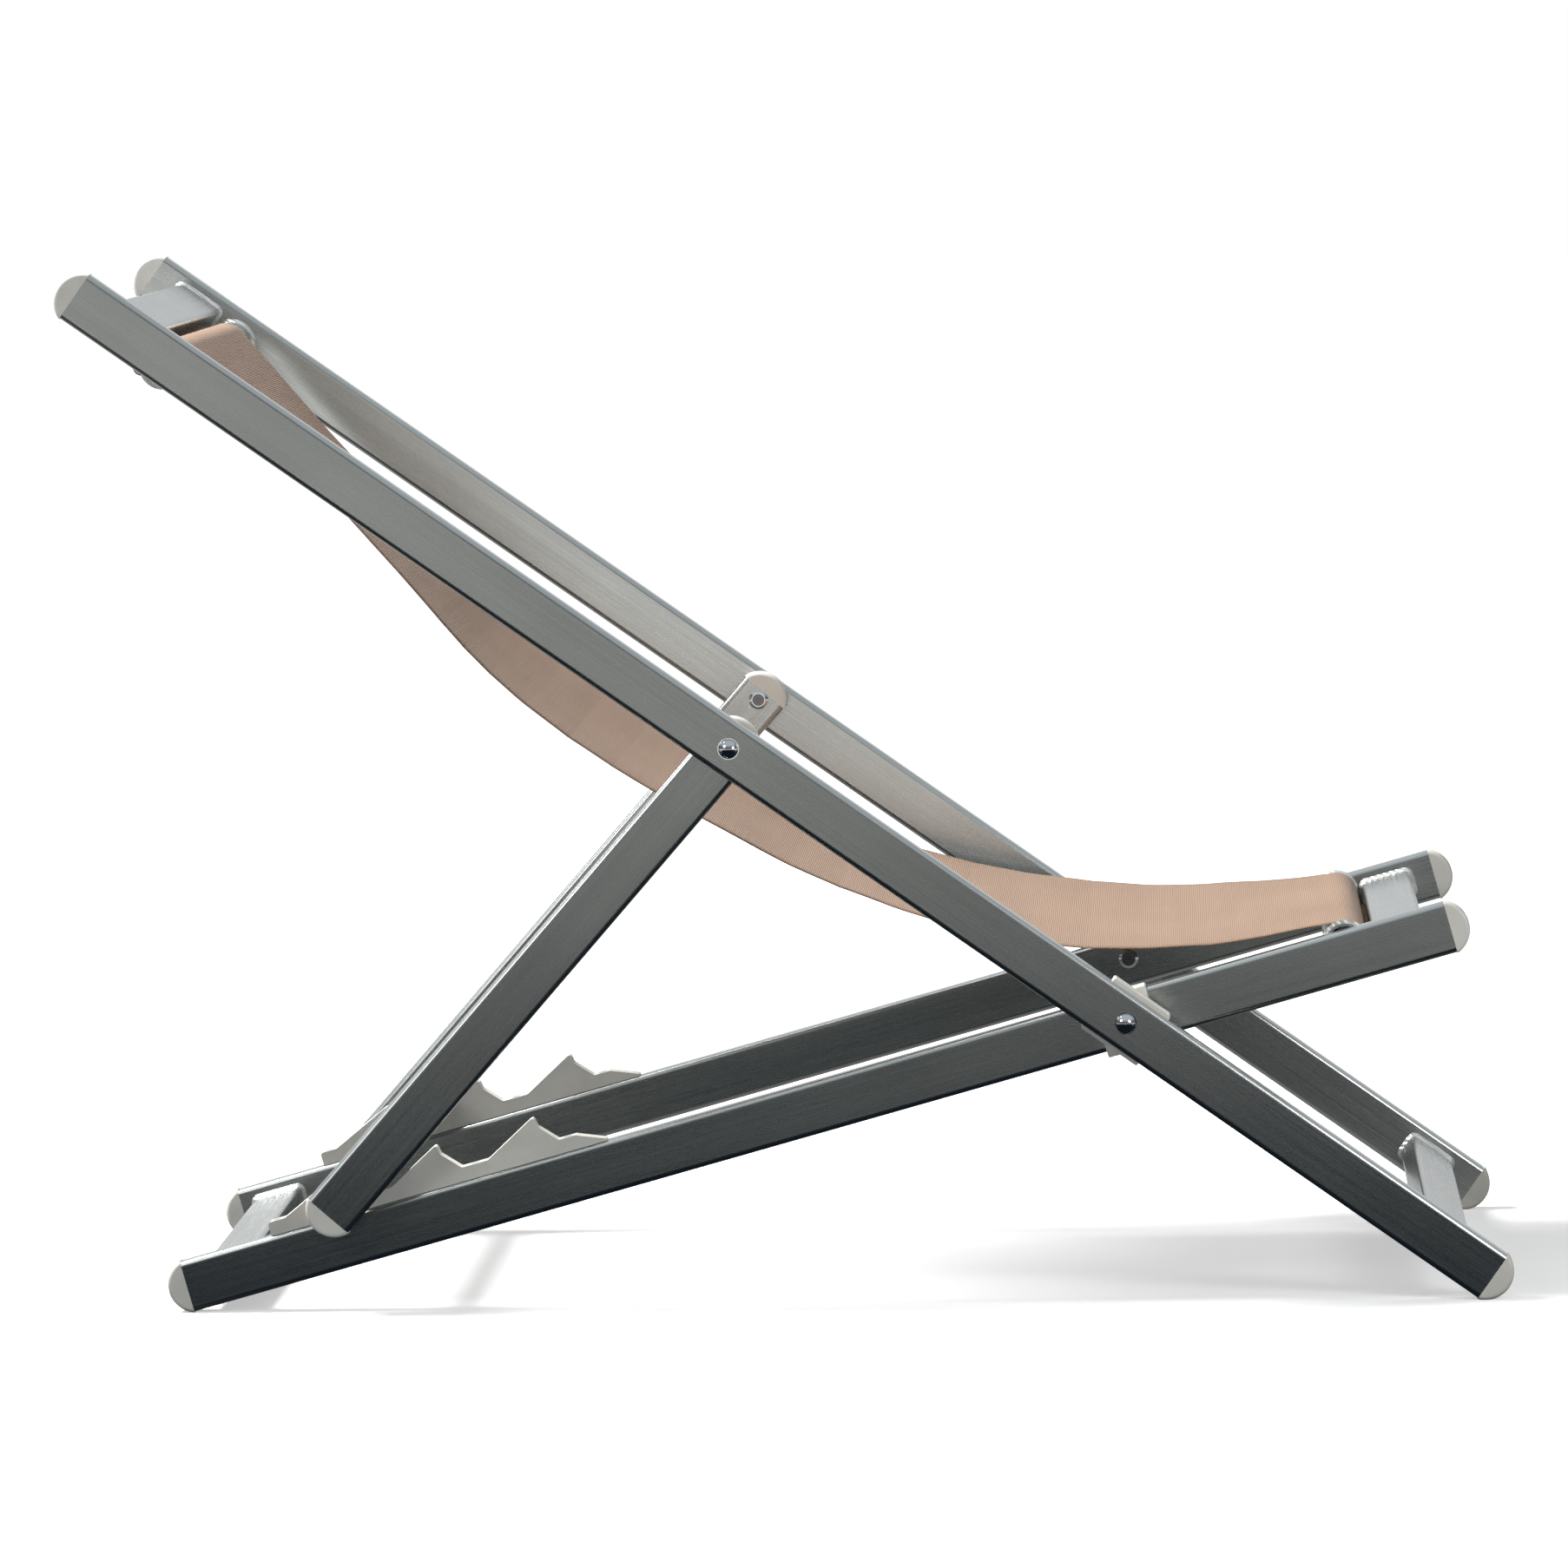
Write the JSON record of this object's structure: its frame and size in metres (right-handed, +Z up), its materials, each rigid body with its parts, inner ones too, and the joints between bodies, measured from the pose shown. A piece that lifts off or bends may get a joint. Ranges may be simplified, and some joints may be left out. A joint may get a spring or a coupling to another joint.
{
  "type": "deck chair",
  "caption": "Folding deck chair of brushed profile rails with a hanging mesh sling, toothed racks and a swinging prop frame.",
  "frame": {"origin": "on the ground, under the middle of the chair's overall box", "axes": "+X from the head to the front feet, +Y to the sitter's left, +Z up; left and right mirror across Y = 0"},
  "size_m": [1.0986, 0.591, 0.8054],
  "materials": {
    "brushed_profile": "brushed lengthwise, clear anodised",
    "weld_bead": "bright rippled weld",
    "ivory_plastic": "smooth moulded ivory nylon",
    "polished_steel": "polished stainless",
    "screw_steel": "plain stainless",
    "sling_mesh": "taupe coated mesh with fine cross ribs",
    "hem_rod": "mill finish rod"
  },
  "bodies": {
    "back_frame": {"foot_cap_left": "ivory_plastic", "foot_cap_right": "ivory_plastic", "foot_crossbar": "brushed_profile", "foot_welds": "weld_bead", "head_cap_left": "ivory_plastic", "head_cap_right": "ivory_plastic", "head_crossbar": "brushed_profile", "head_hem_rod": "hem_rod", "head_sling_tube": "brushed_profile", "head_welds": "weld_bead", "long_rail_left": "brushed_profile", "long_rail_right": "brushed_profile", "lower_dished_washers": "screw_steel", "lower_dome_nut_left": "polished_steel", "lower_dome_nut_right": "polished_steel", "lower_socket_screw_left": "screw_steel", "lower_socket_screw_right": "screw_steel", "rail_saddle_left": "ivory_plastic", "rail_saddle_right": "ivory_plastic", "rail_spacer_tubes": "hem_rod", "sling": "sling_mesh", "spacer_washers": "ivory_plastic", "upper_dished_washers": "screw_steel", "upper_dome_nut_left": "polished_steel", "upper_dome_nut_right": "polished_steel", "upper_socket_screw_left": "screw_steel", "upper_socket_screw_right": "screw_steel"},
    "seat_frame": {"front_crossbar": "brushed_profile", "front_hem_rod": "hem_rod", "front_sling_tube": "brushed_profile", "front_welds": "weld_bead", "rack_left": "ivory_plastic", "rack_right": "ivory_plastic", "rack_screws": "screw_steel", "rear_crossbar": "brushed_profile", "rear_welds": "weld_bead", "seat_bush_left": "ivory_plastic", "seat_bush_right": "ivory_plastic", "seat_front_cap_left": "ivory_plastic", "seat_front_cap_right": "ivory_plastic", "seat_rail_left": "brushed_profile", "seat_rail_right": "brushed_profile", "seat_rear_cap_left": "ivory_plastic", "seat_rear_cap_right": "ivory_plastic", "seat_saddle_left": "ivory_plastic", "seat_saddle_right": "ivory_plastic"},
    "prop_frame": {"prop_bush_left": "ivory_plastic", "prop_bush_right": "ivory_plastic", "prop_crossbar": "brushed_profile", "prop_foot_cap_left": "ivory_plastic", "prop_foot_cap_right": "ivory_plastic", "prop_leg_left": "brushed_profile", "prop_leg_right": "brushed_profile", "prop_top_cap_left": "ivory_plastic", "prop_top_cap_right": "ivory_plastic", "prop_welds": "weld_bead"}
  },
  "joints": [
    {"name": "seat_fold", "type": "hinge", "parent": "back_frame", "child": "seat_frame", "pos_m": [0.25657, 0, 0.21723], "axis": [0, 1, 0], "range_deg": [-20, 0], "deforming": ["sling"]},
    {"name": "prop_swing", "type": "hinge", "parent": "back_frame", "child": "prop_frame", "pos_m": [-0.04199, 0, 0.43288], "axis": [0, 1, 0], "range_deg": [0, 80]}
  ]
}
